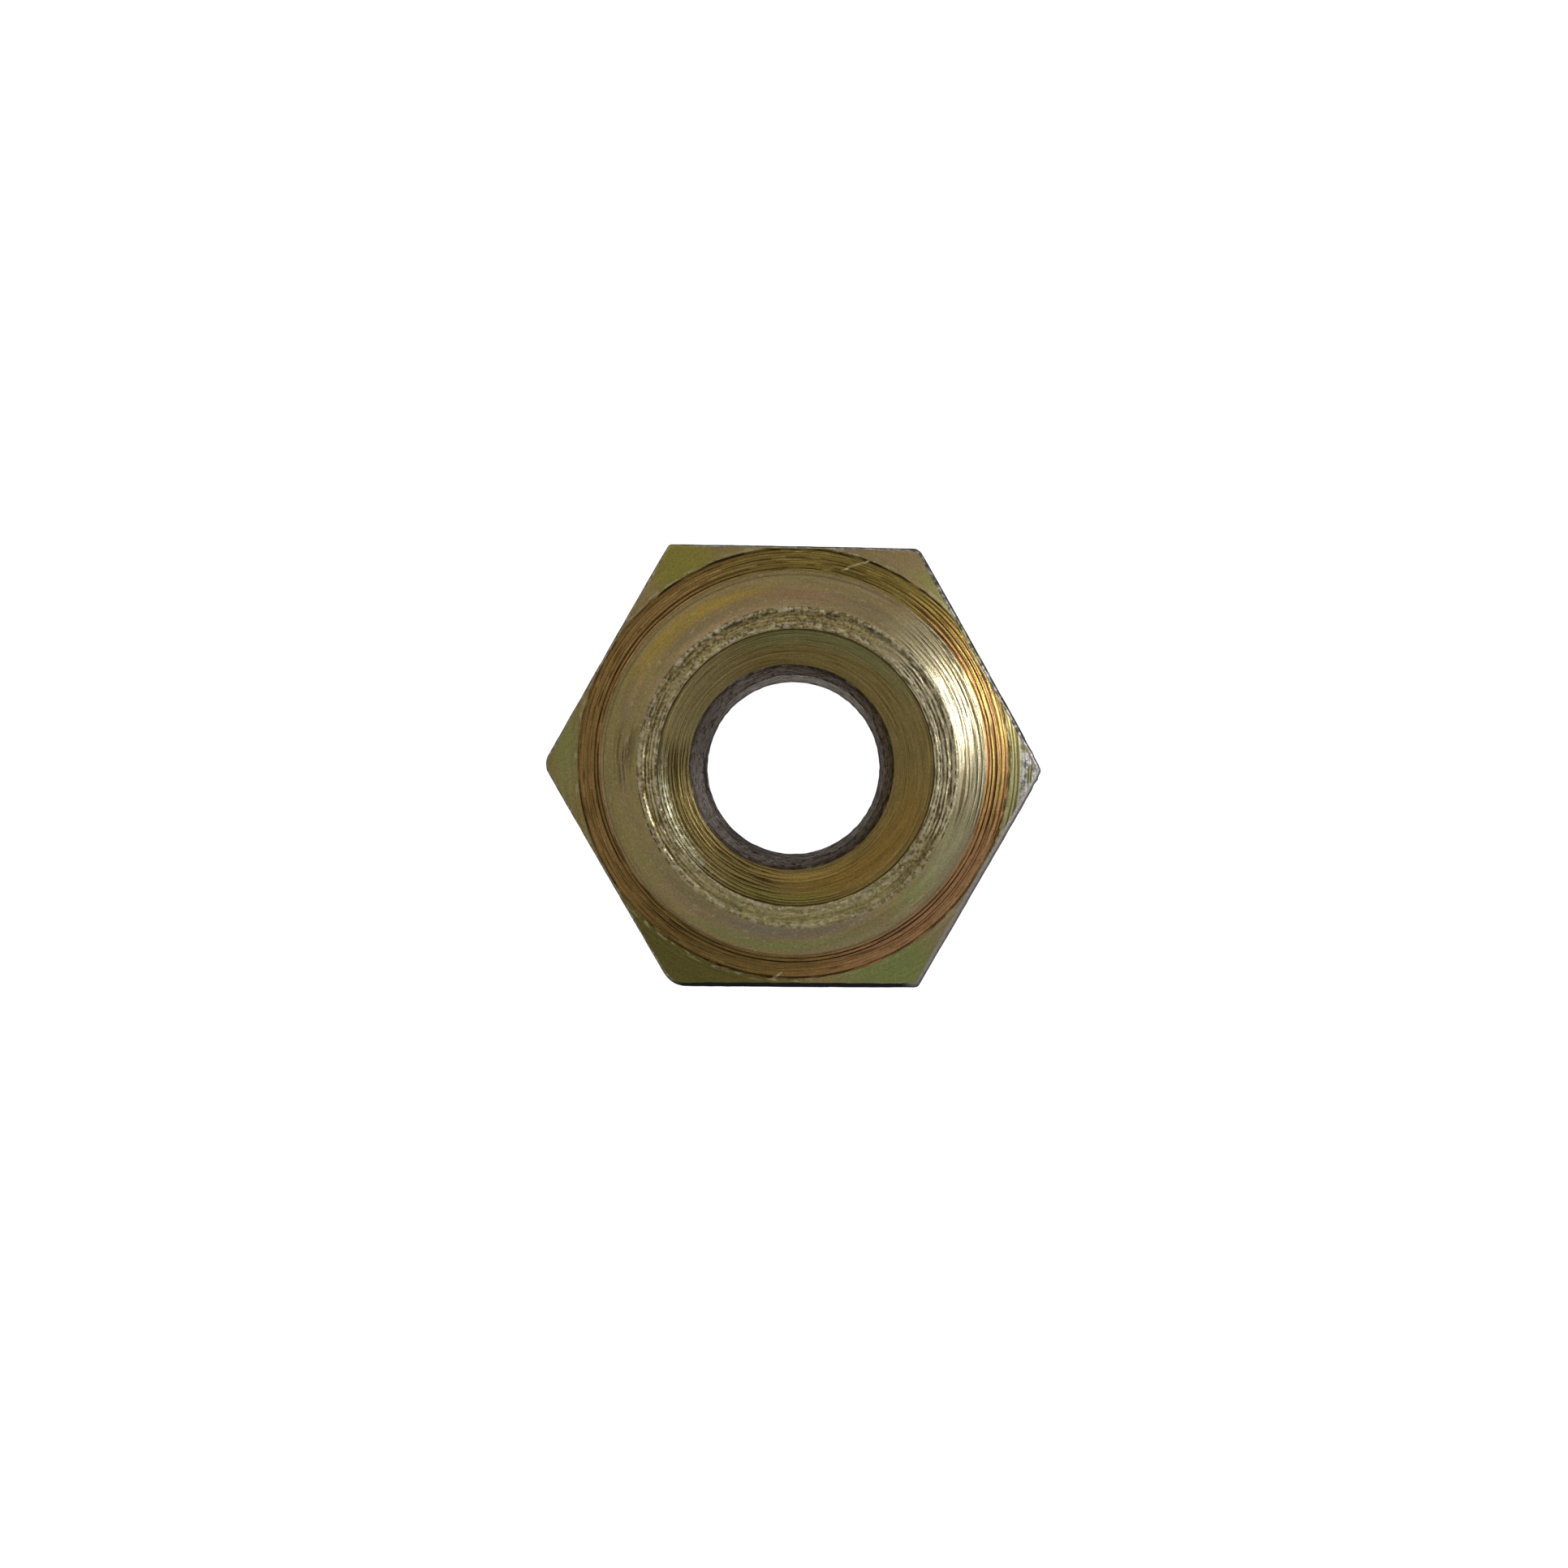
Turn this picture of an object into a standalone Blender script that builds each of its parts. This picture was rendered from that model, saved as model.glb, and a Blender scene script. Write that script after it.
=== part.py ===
"""Two-piece prevailing-torque hex nut: a turned steel body and the spring locking ring held under its rim.

The bore runs along +Z, towards the collar. The origin is the centre of the bearing face, and two opposite
corners of the hexagon lie on the X axis. All lengths are in metres.
"""

import math

import bmesh
import bpy

MM = 0.001

# Driving dimensions
ACROSS_FLATS = 17.0 * MM
NUT_HEIGHT = 10.0 * MM
THREAD_DIAMETER = 8.0 * MM
THREAD_PITCH = 1.25 * MM
TAPPING_DIAMETER = 6.72 * MM
RING_CLEARANCE = 0.3 * MM
SEGMENTS = 60

# Hexagon
FLAT_DISTANCE = ACROSS_FLATS / 2
CORNER_DISTANCE = FLAT_DISTANCE / math.cos(math.radians(30))
CORNER_ROUNDING = 0.2 * MM
BEARING_RADIUS = 7.8 * MM
BEARING_CHAMFER = math.radians(30)
SHOULDER_HEIGHT = 7.2 * MM
CORNER_SLOPE = math.radians(22)

# Turned band between the hexagon and the collar
BAND_OUTER_RADIUS = 8.29 * MM
BAND_SLOPE = math.radians(25)
BAND_STEP = 0.05 * MM

# Collar
COLLAR_RADIUS = 7.28 * MM
DOME_TOP_SLOPE = math.radians(20)
DOME_EDGE_RADIUS = 7.07 * MM
DOME_EDGE_SLOPE = math.radians(45)
RIM_OUTER_RADIUS = 6.075 * MM
RIM_INNER_RADIUS = 5.3 * MM
RIM_THICKNESS = 0.45 * MM
ARC_STEPS = 5

# Locking ring
RING_OUTER_RADIUS = 6.0 * MM
RING_THICKNESS = 0.8 * MM
DISH_INNER_RADIUS = 4.0 * MM
DISH_SLOPE = math.radians(38)
GRIP_RADIUS = 3.56 * MM
GRIP_DROP = 0.4 * MM
GRIP_LAND = 0.25 * MM
GRIP_PINCH = 0.08 * MM

# Inside of the body
THREAD_TOP = 6.9 * MM
COUNTERSINK_RADIUS = 4.3 * MM
COUNTERSINK_SLOPE = math.radians(30)
RELIEF_RADIUS = 5.75 * MM
CORE_RADIUS = 3.0 * MM
TOOL_OVERRUN = 1.0 * MM

RING_TOP = NUT_HEIGHT - RIM_THICKNESS - RING_CLEARANCE
POCKET_RADIUS = RING_OUTER_RADIUS + RING_CLEARANCE
POCKET_FLOOR = RING_TOP - RING_THICKNESS - RING_CLEARANCE


def clear_scene():
    """Removes whatever the file opened with."""
    for old_object in list(bpy.data.objects):
        bpy.data.objects.remove(old_object, do_unlink=True)


def metal(name, color, roughness):
    """A plated steel finish."""
    material = bpy.data.materials.new(name)
    material.use_nodes = True
    shader = material.node_tree.nodes["Principled BSDF"]
    shader.inputs["Base Color"].default_value = (*color, 1.0)
    shader.inputs["Metallic"].default_value = 1.0
    shader.inputs["Roughness"].default_value = roughness
    material.diffuse_color = (*color, 1.0)
    return material


def add_object(name, shape):
    """Turns finished geometry into a named object in the scene."""
    bmesh.ops.recalc_face_normals(shape, faces=shape.faces)
    mesh = bpy.data.meshes.new(name)
    shape.to_mesh(mesh)
    shape.free()
    new_object = bpy.data.objects.new(name, mesh)
    bpy.context.scene.collection.objects.link(new_object)
    return new_object


def as_tool(tool):
    """Marks an object as a cutting tool, which is no piece of the nut."""
    tool.hide_render = True
    tool.display_type = "WIRE"
    return tool


def shape_with(piece, operation, tool):
    """Cuts a piece with a tool, or keeps only what lies inside it."""
    step = piece.modifiers.new(tool.name, "BOOLEAN")
    step.operation = operation
    step.solver = "EXACT"
    step.object = tool


def shade_round(piece, crease_degrees=25):
    """Smooth shading with creases where the surface turns sharply."""
    piece.data.shade_smooth()
    piece.data.set_sharp_from_angle(angle=math.radians(crease_degrees))


def on_circle(shape, radius, height, angle):
    """A new point at this radius, height and angle about the bore."""
    return shape.verts.new((radius * math.cos(angle), radius * math.sin(angle), height))


def turned(outline, radius_at=None):
    """Sweeps an outline of (radius, height) points round the bore, closing it on the axis where it ends there."""
    shape = bmesh.new()
    angles = [2 * math.pi * i / SEGMENTS for i in range(SEGMENTS)]
    loops = []
    for radius, height in outline:
        if radius == 0:
            centre = shape.verts.new((0, 0, height))
            loops.append([centre] * SEGMENTS)
            continue
        radii = [radius_at(radius, angle) if radius_at else radius for angle in angles]
        loops.append([on_circle(shape, r, height, angle) for r, angle in zip(radii, angles)])
    on_axis = outline[0][0] == 0
    pairs = list(zip(loops, loops[1:])) if on_axis else list(zip(loops, loops[1:] + loops[:1]))
    for lower, upper in pairs:
        for i in range(SEGMENTS):
            following = (i + 1) % SEGMENTS
            corners = [lower[i], lower[following], upper[following], upper[i]]
            shape.faces.new(list(dict.fromkeys(corners)))
    return shape


def hexagonal_bar():
    """A hexagonal prism a little taller than the nut, with its upright edges rounded."""
    shape = bmesh.new()
    angles = [math.radians(60 * i) for i in range(6)]
    bottom = [on_circle(shape, CORNER_DISTANCE, -TOOL_OVERRUN, angle) for angle in angles]
    top = [on_circle(shape, CORNER_DISTANCE, NUT_HEIGHT + TOOL_OVERRUN, angle) for angle in angles]
    shape.faces.new(bottom[::-1])
    shape.faces.new(top)
    for i in range(6):
        following = (i + 1) % 6
        shape.faces.new((bottom[i], bottom[following], top[following], top[i]))
    upright = [shape.edges.get((low, high)) for low, high in zip(bottom, top)]
    bmesh.ops.bevel(shape, geom=upright, offset=CORNER_ROUNDING, segments=2, profile=0.5, affect="EDGES")
    return shape


def arc_points(radius, height, slope, last_radius, last_slope):
    """An arc that starts at this radius and height and ends at last_radius, while its slope changes evenly."""
    curvature_radius = (last_radius - radius) / (math.sin(last_slope) - math.sin(slope))
    points = []
    for i in range(1, ARC_STEPS + 1):
        tilt = slope + (last_slope - slope) * i / ARC_STEPS
        outward = curvature_radius * (math.sin(tilt) - math.sin(slope))
        downward = curvature_radius * (math.cos(slope) - math.cos(tilt))
        points.append((radius + outward, height - downward))
    return points


def dome_points():
    """The collar's crowned shoulder, from the flat rim out and down to its upright side."""
    rim = [(RIM_OUTER_RADIUS, NUT_HEIGHT)]
    crown = arc_points(*rim[-1], DOME_TOP_SLOPE, DOME_EDGE_RADIUS, DOME_EDGE_SLOPE)
    edge = arc_points(*crown[-1], DOME_EDGE_SLOPE, COLLAR_RADIUS, math.radians(90))
    return rim + crown + edge


def turned_blank():
    """The outside of the body as the lathe leaves it, before the hexagon takes its share."""
    clear_radius = CORNER_DISTANCE + TOOL_OVERRUN
    chamfer_height = (clear_radius - BEARING_RADIUS) * math.tan(BEARING_CHAMFER)
    corner_height = SHOULDER_HEIGHT - BAND_STEP
    corner_drop = (clear_radius - BAND_OUTER_RADIUS) * math.tan(CORNER_SLOPE)
    band_rise = (BAND_OUTER_RADIUS - COLLAR_RADIUS) * math.tan(BAND_SLOPE)
    outline = [
        (0, 0),
        (BEARING_RADIUS, 0),
        (clear_radius, chamfer_height),
        (clear_radius, corner_height - corner_drop),
        (BAND_OUTER_RADIUS, corner_height),
        (BAND_OUTER_RADIUS, SHOULDER_HEIGHT),
        (COLLAR_RADIUS, SHOULDER_HEIGHT + band_rise),
        *reversed(dome_points()),
        (0, NUT_HEIGHT),
    ]
    return turned(outline)


def bore_and_pocket():
    """What the boring bar removes: both countersinks, the relief below the ring, its pocket and the mouth."""
    slope = math.tan(COUNTERSINK_SLOPE)
    mouth_radius = COUNTERSINK_RADIUS + TOOL_OVERRUN / slope
    countersink_depth = (COUNTERSINK_RADIUS - CORE_RADIUS) * slope
    outline = [
        (0, -TOOL_OVERRUN),
        (mouth_radius, -TOOL_OVERRUN),
        (CORE_RADIUS, countersink_depth),
        (CORE_RADIUS, THREAD_TOP - countersink_depth),
        (COUNTERSINK_RADIUS, THREAD_TOP),
        (RELIEF_RADIUS, THREAD_TOP),
        (RELIEF_RADIUS, POCKET_FLOOR),
        (POCKET_RADIUS, POCKET_FLOOR),
        (POCKET_RADIUS, NUT_HEIGHT - RIM_THICKNESS),
        (RIM_INNER_RADIUS, NUT_HEIGHT - RIM_THICKNESS),
        (RIM_INNER_RADIUS, NUT_HEIGHT + TOOL_OVERRUN),
        (0, NUT_HEIGHT + TOOL_OVERRUN),
    ]
    return turned(outline)


def thread_lines():
    """One pitch of the 60 degree thread, as (height, radius) pairs: two at the root, then two at the crest."""
    root_radius = THREAD_DIAMETER / 2
    crest_radius = TAPPING_DIAMETER / 2
    root_half_width = THREAD_PITCH / 16
    flank_height = (root_radius - crest_radius) * math.tan(math.radians(30))
    return [
        (-root_half_width, root_radius),
        (root_half_width, root_radius),
        (root_half_width + flank_height, crest_radius),
        (THREAD_PITCH - root_half_width - flank_height, crest_radius),
    ]


def thread_tap():
    """A right-hand tap: a threaded rod that starts below the nut and ends in the relief."""
    profile = thread_lines()
    lines_per_pitch = len(profile)
    start = -2 * THREAD_PITCH
    pitches = math.ceil((THREAD_TOP - start) / THREAD_PITCH)
    line_count = pitches * lines_per_pitch + 1
    shape = bmesh.new()
    columns = []
    for i in range(SEGMENTS):
        angle = 2 * math.pi * i / SEGMENTS
        column = []
        for line in range(line_count):
            rise, radius = profile[line % lines_per_pitch]
            turns = line // lines_per_pitch + i / SEGMENTS
            column.append(on_circle(shape, radius, start + rise + turns * THREAD_PITCH, angle))
        columns.append(column)
    for i in range(SEGMENTS - 1):
        add_strip(shape, columns[i], columns[i + 1])
    # One turn on, each line of the helix meets the line one pitch above it.
    add_strip(shape, columns[-1], columns[0][lines_per_pitch:])
    bottom = [column[0] for column in columns] + columns[0][lines_per_pitch:0:-1]
    top = [column[-1] for column in columns] + columns[-1][-2 : -lines_per_pitch - 2 : -1]
    close_with_fan(shape, bottom, start - TOOL_OVERRUN)
    close_with_fan(shape, top, start + (pitches + 1) * THREAD_PITCH + TOOL_OVERRUN)
    return shape


def add_strip(shape, left, right):
    """Faces between two neighbouring columns of points, as far as the shorter one reaches."""
    for i in range(min(len(left), len(right)) - 1):
        shape.faces.new((left[i], right[i], right[i + 1], left[i + 1]))


def close_with_fan(shape, rim, height):
    """Closes a ring of points with triangles that meet on the axis."""
    centre = shape.verts.new((0, 0, height))
    for here, following in zip(rim, rim[1:] + rim[:1]):
        shape.faces.new((here, following, centre))


def pinched(radius, angle):
    """Squeezes the ring's gripping edge slightly oval, so that it rubs on the bolt's thread."""
    if radius > GRIP_RADIUS:
        return radius
    return radius - GRIP_PINCH * (1 + math.cos(2 * angle)) / 2


def ring_outline():
    """The locking ring's section: a flat rim, a dish, and a steeper gripping edge."""
    dish_bottom = RING_TOP - (RIM_INNER_RADIUS - DISH_INNER_RADIUS) * math.tan(DISH_SLOPE)
    grip_bottom = dish_bottom - GRIP_DROP - GRIP_LAND
    dish_drop = RING_THICKNESS / math.cos(DISH_SLOPE)
    rim_bottom = RING_TOP - RING_THICKNESS
    rise = (rim_bottom - grip_bottom) / math.tan(DISH_SLOPE)
    dish_foot = RIM_INNER_RADIUS - (RING_TOP - dish_drop - grip_bottom) / math.tan(DISH_SLOPE)
    return [
        (GRIP_RADIUS, grip_bottom),
        (dish_foot, grip_bottom),
        (dish_foot + rise, rim_bottom),
        (RING_OUTER_RADIUS, rim_bottom),
        (RING_OUTER_RADIUS, RING_TOP),
        (RIM_INNER_RADIUS, RING_TOP),
        (DISH_INNER_RADIUS, dish_bottom),
        (GRIP_RADIUS, dish_bottom - GRIP_DROP),
    ]


def make_nut_body():
    """The hexagon, shoulder and collar, with the thread, the ring's pocket and the rim over it."""
    body = add_object("nut_body", turned_blank())
    shape_with(body, "INTERSECT", as_tool(add_object("hexagonal_bar", hexagonal_bar())))
    shape_with(body, "DIFFERENCE", as_tool(add_object("boring_bar", bore_and_pocket())))
    shape_with(body, "DIFFERENCE", as_tool(add_object("tap", thread_tap())))
    body.data.materials.append(metal("chromated_steel", (0.33, 0.25, 0.11), 0.38))
    shade_round(body)


def make_locking_ring():
    """The dished spring ring that grips the bolt."""
    ring = add_object("locking_ring", turned(ring_outline(), pinched))
    ring.data.materials.append(metal("chromated_spring_steel", (0.27, 0.21, 0.09), 0.32))
    shade_round(ring)


clear_scene()
make_nut_body()
make_locking_ring()
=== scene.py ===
"""Looks of the two-piece locking nut.

The turned body and the spring ring are rebuilt as fine meshes where their CAD solids stand: a hexagon with
worn corners, a band with its feed grooves, a crowned collar, a rim rolled over the ring and a helical thread.
Lengths are in millimetres until a mesh is made, and the floor, lights and camera are in metres. Angles run
anticlockwise from +X.
"""

import math

import bmesh
import bpy
import numpy as np
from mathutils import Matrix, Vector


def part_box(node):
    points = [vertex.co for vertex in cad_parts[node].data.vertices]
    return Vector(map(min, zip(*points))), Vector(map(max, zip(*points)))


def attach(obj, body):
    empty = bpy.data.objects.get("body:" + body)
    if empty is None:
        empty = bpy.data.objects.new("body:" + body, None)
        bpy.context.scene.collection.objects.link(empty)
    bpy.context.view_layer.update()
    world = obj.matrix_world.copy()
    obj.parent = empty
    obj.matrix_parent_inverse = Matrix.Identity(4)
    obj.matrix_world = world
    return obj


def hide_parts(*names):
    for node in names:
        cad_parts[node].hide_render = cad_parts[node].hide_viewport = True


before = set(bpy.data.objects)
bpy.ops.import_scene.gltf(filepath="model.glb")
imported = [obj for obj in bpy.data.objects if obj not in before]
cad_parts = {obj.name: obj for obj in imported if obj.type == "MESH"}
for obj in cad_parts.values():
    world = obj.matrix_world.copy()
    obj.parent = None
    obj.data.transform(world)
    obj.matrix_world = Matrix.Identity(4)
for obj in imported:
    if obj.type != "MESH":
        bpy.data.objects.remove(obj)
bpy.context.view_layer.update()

MM = 0.001
COLUMNS = 600
ANGLES = np.arange(COLUMNS) * 2 * math.pi / COLUMNS
MERGE_DISTANCE = 0.0004 * MM

# Sizes that the frame gives
_, body_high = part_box("nut_body")
ring_low, ring_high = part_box("locking_ring")
NUT_HEIGHT = body_high.z / MM
FLAT_DISTANCE = body_high.y / MM
RING_OUTER = ring_high.x / MM
RING_TOP = ring_high.z / MM
RING_BOTTOM = ring_low.z / MM

# Hexagon: the lists run anticlockwise, flats from the one that faces 30 degrees, corners from the one on +X.
# Along the upper edge each rounding stays the same for EDGE_STEADY_DEGREES either side of its flat's middle.
FLAT_INSETS = (0.21, 0.06, 0.1, 0.19, 0.0, 0.1)
FLAT_TURNS = (-0.55, -0.7, 0.6, 0.4, 0.0, 0.3)
CORNER_ROUNDINGS = (0.5, 0.4, 0.15, 0.7, 1.0, 0.2)
EDGE_ROUNDINGS = (0.17, 0.08, 0.06, 0.06, 0.17, 0.2)
EDGE_STEADY_DEGREES = 22
BATTERED_HALF_ANGLE = math.radians(9)
BATTERED_DEPTH = 0.09
FLAT_DENTS = 0.014
CHAMFER_ROUNDING = 0.06
BEARING_RADIUS = 7.8
BEARING_DIVISIONS = (4.5, 5.5, 6.6, 7.7)
BEARING_SLOPE = math.radians(30)
SHOULDER_HEIGHT = 7.2
CORNER_SLOPE = math.radians(22)

# Turned band, with the radius and the depth of each groove that the feed left
BAND_OUTER = 8.29
BAND_SLOPE = math.radians(25)
BAND_STEP = 0.05
BAND_CENTRE = (-0.015, 0.11)
BAND_GROOVES = (
    (8.22, 0.025),
    (8.07, 0.014),
    (8.0, 0.01),
    (7.89, 0.016),
    (7.79, 0.02),
    (7.7, 0.01),
    (7.62, 0.035),
    (7.49, 0.03),
    (7.41, 0.01),
)
GROOVE_HALF_WIDTH = 0.022
GROOVE_FLOOR_HALF_WIDTH = 0.005
# Grooves deeper than these get painted shade in the band's finish, the deepest more of it.
SHADED_GROOVE_DEPTH = 0.015
DARKEST_GROOVE_DEPTH = 0.025

# Collar
COLLAR_RADIUS = 7.27
DOME_TOP_SLOPE = math.radians(19)
DOME_EDGE_RADIUS = 7.24
DOME_EDGE_SLOPE = math.radians(36)
DOME_CENTRE = (0.0, 0.03)
DOME_CHATTER = 0.0012
SCRAPED_SIDE = math.radians(19)
FOOT_FILLET = 0.015
RIM_OUTER = 6.08
RIM_INNER = 5.29
RIM_DIP = 0.035
RIM_WALL = 0.2
RIM_OUTER_CENTRE = (0.15, -0.07)
RIM_INNER_CENTRE = (0.08, -0.07)

# The rim's outer lip, row of pits, tool line and inner lip. For each: where it lies, as a fraction of the way
# in across the rim, its width as such a fraction, and how high it stands.
RIM_FEATURES = ((0.1, 0.09, 0.022), (0.3, 0.07, -0.035), (0.68, 0.05, -0.014), (0.88, 0.09, 0.02))

# Inside of the body
SNUG_GAP = 0.02
POCKET_DEPTH = 0.8
RELIEF_RADIUS = 5.75
THREAD_TOP = 6.9
THREAD_PITCH = 1.25
ROOT_RADIUS = 4.0
CREST_RADIUS = 3.36
COUNTERSINK_RADIUS = 4.3
COUNTERSINK_SLOPE = math.radians(30)
BORE_CENTRE = (0.0, -0.07)

# Locking ring, with the radius and the depth of each deeper line that was turned in its dish
DISH_OUTER = 5.3
DISH_INNER = 3.93
DISH_SLOPE = math.radians(38)
GRIP_RADIUS = 3.56
GRIP_PINCH = 0.08
GRIP_LAND = 0.25
GRIP_CENTRE = (-0.09, -0.05)
GRIP_BULGE = 0.01
GRIP_BULGE_DEPTH = 0.06
SEAT_INNER = 5.7
DISH_LINES = ((5.16, 0.016), (5.09, 0.012), (4.86, 0.006), (4.63, 0.008), (4.4, 0.014), (4.25, 0.016))
DISH_LINE_WIDTH = 0.025
DISH_CHATTER = 0.0007

CREASE_ANGLE = math.radians(40)


# ---- Shapes ----------------------------------------------------------------------------------------


def steady(value):
    """The same value all round the nut."""
    return np.full(COLUMNS, float(value))


def steps(count, first=False):
    """Evenly spaced fractions up to 1, with 0 itself only when first is set."""
    return [i / count for i in range(0 if first else 1, count + 1)]


def wander(seed, lumps, rows=1):
    """Smooth random values from -1 to 1 round the nut, a line for each row, with so many lumps in a turn."""
    table = np.random.default_rng(seed).uniform(-1, 1, (rows, lumps))
    position = np.arange(COLUMNS) * lumps / COLUMNS
    left = position.astype(int)
    blend = position - left
    blend = blend * blend * (3 - 2 * blend)
    return table[:, left] * (1 - blend) + table[:, (left + 1) % lumps] * blend


def ripple(seed, lumps, depth):
    """One line of smooth random values round the nut, up to this depth either way."""
    return wander(seed, lumps)[0] * depth


def bump(distance, width):
    """1 where the distance is none, falling away smoothly over this width."""
    return math.exp(-((distance / width) ** 2))


def off_centre(radius, centre, angles=ANGLES):
    """How far a circle lies from the nut's axis at each angle, when its centre is a little off that axis."""
    x, y = centre
    along = x * np.cos(angles) + y * np.sin(angles)
    return along + np.sqrt(radius**2 - (x**2 + y**2 - along**2))


def wrapped(angle):
    """The same angle between minus and plus half a turn."""
    return (angle + math.pi) % (2 * math.pi) - math.pi


def hexagon_reach():
    """How far the hexagon reaches at each angle: flats at their own distances, joined by rounded corners."""
    facing = np.radians(30 + 60 * np.arange(6) + np.array(FLAT_TURNS))
    normals = np.column_stack((np.cos(facing), np.sin(facing)))
    distances = FLAT_DISTANCE - np.array(FLAT_INSETS)
    towards = np.column_stack((np.cos(ANGLES), np.sin(ANGLES))) @ normals.T
    # The lower limit keeps a flat that faces away from giving a distance below zero.
    reach = np.min(distances / np.maximum(towards, 0.1), axis=1)
    for corner, rounding in enumerate(CORNER_ROUNDINGS):
        sides = [corner - 1, corner]
        centre = np.linalg.solve(normals[sides], distances[sides] - rounding)
        touching = centre + rounding * normals[sides]
        middle = math.radians(60 * corner)
        first, last = wrapped(np.arctan2(touching[:, 1], touching[:, 0]) - middle)
        turn = wrapped(ANGLES - middle)
        distance = math.hypot(*centre)
        off_axis = turn - wrapped(math.atan2(centre[1], centre[0]) - middle)
        under_root = np.maximum(rounding**2 - (distance * np.sin(off_axis)) ** 2, 0)
        arc = distance * np.cos(off_axis) + np.sqrt(under_root)
        reach = np.where((turn > first) & (turn < last), arc, reach)
    battered = np.clip(1 - np.abs(wrapped(ANGLES)) / BATTERED_HALF_ANGLE, 0, 1)
    return reach - battered * np.abs(ripple(15, 170, BATTERED_DEPTH))


def edge_rounding():
    """The rounding along the hexagon's upper edge, steady along each flat and blended at the corners."""
    ends = (-EDGE_STEADY_DEGREES, EDGE_STEADY_DEGREES)
    bounds = [30 + 60 * side + end for side in range(6) for end in ends]
    return np.interp(np.degrees(ANGLES), bounds, np.repeat(EDGE_ROUNDINGS, 2), period=360)


def bearing_rows():
    """The flat face the nut tightens on, from the countersink out to the chamfer."""
    mouth = [(off_centre(COUNTERSINK_RADIUS, BORE_CENTRE), steady(0))]
    return mouth + [(steady(radius), steady(0)) for radius in (*BEARING_DIVISIONS, BEARING_RADIUS)]


def flank_rows(reach):
    """The chamfer under the hexagon and the six flats, up to where the upper edge starts to round."""
    chamfer_top = (reach - BEARING_RADIUS) * math.tan(BEARING_SLOPE)
    top = cone_height(reach - edge_rounding()) - edge_rounding()
    rows = [((reach + BEARING_RADIUS) / 2, chamfer_top / 2)]
    for tilt in (30, 60, 90):
        inward = CHAMFER_ROUNDING * (1 - math.sin(math.radians(tilt)))
        upward = CHAMFER_ROUNDING * (1 - math.cos(math.radians(tilt)))
        rows.append((reach - inward, chamfer_top - CHAMFER_ROUNDING / 2 + upward))
    bottom = chamfer_top + CHAMFER_ROUNDING
    fractions = steps(8)
    dents = wander(11, 90, len(fractions)) * FLAT_DENTS
    for fraction, dent in zip(fractions, dents):
        rows.append((reach - abs(dent), bottom + (top - bottom) * fraction))
    return rows


def cone_height(radius):
    """How high the cone that the corners are turned to lies at this radius."""
    return SHOULDER_HEIGHT - BAND_STEP - (radius - BAND_OUTER) * math.tan(CORNER_SLOPE)


def edge_rows(reach):
    """The hexagon's rounded and nicked upper edge."""
    rounding = edge_rounding()
    tilts = (15, 35, 55, 75, 90)
    short_nicks = wander(12, 230, len(tilts)) * 0.02
    long_nicks = wander(13, 60, len(tilts)) * 0.012
    rows = []
    for tilt, nick in zip(tilts, short_nicks + long_nicks):
        inward = rounding * (1 - math.cos(math.radians(tilt)))
        downward = rounding * (1 - math.sin(math.radians(tilt)))
        radius = reach - inward - abs(nick)
        rows.append((radius, cone_height(reach - rounding) - downward))
    return rows


def shoulder_rows(reach):
    """The cone that the corners are turned to, in from the rounded edge to the band."""
    outer = reach - edge_rounding()
    inner = np.minimum(off_centre(BAND_OUTER, BAND_CENTRE) + ripple(14, 160, 0.012), outer - 0.03)
    rows = []
    for fraction in steps(8):
        radius = outer + (inner - outer) * fraction
        rows.append((radius, cone_height(radius)))
    return rows


def band_height(radius):
    """How high the band lies at this radius, before its grooves are cut."""
    return SHOULDER_HEIGHT + (BAND_OUTER - radius) * math.tan(BAND_SLOPE)


def grooves_over(least):
    """The radii of the band's grooves that are deeper than this."""
    return [radius for radius, depth in BAND_GROOVES if depth > least]


def band_rows(reach):
    """The turned band: a ragged burr at its outer edge, then lands with a narrow groove between each two."""
    limit = reach - edge_rounding() - 0.05
    ragged = ripple(21, 210, 0.014) + ripple(22, 55, 0.012)
    burr = np.maximum(ripple(23, 240, 0.03) + ripple(24, 48, 0.02), 0)
    outer = np.minimum(off_centre(BAND_OUTER - 0.02, BAND_CENTRE) + ragged, limit)
    rows = [(outer, band_height(outer) + burr)]
    count = len(BAND_GROOVES)
    strengths = 0.75 + 0.55 * wander(25, 8, count) + 0.35 * wander(26, 80, count)
    wobbles = 0.012 * wander(27, 7, count) + 0.005 * wander(28, 110, count)
    section = (
        (GROOVE_HALF_WIDTH, -0.1),
        (GROOVE_FLOOR_HALF_WIDTH, 1),
        (-GROOVE_FLOOR_HALF_WIDTH, 1),
        (-GROOVE_HALF_WIDTH, -0.2),
    )
    for (place, depth), strength, wobble in zip(BAND_GROOVES, strengths, wobbles):
        middle = off_centre(place, BAND_CENTRE) + wobble
        cut = depth * np.maximum(strength, 0.05)
        for offset, share in section:
            radius = np.minimum(middle + offset, outer - 0.01 - (BAND_OUTER - place - offset) * 0.2)
            rows.append((radius, band_height(radius) - cut * share))
    return rows


def arc_points(radius, height, slope, last_radius, last_slope, count):
    """An arc from this radius and height out to last_radius, whose slope changes evenly to last_slope."""
    curvature_radius = (last_radius - radius) / (math.sin(last_slope) - math.sin(slope))
    points = []
    for fraction in steps(count):
        tilt = slope + (last_slope - slope) * fraction
        outward = curvature_radius * (math.sin(tilt) - math.sin(slope))
        downward = curvature_radius * (math.cos(slope) - math.cos(tilt))
        points.append((radius + outward, height - downward))
    return points


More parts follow.
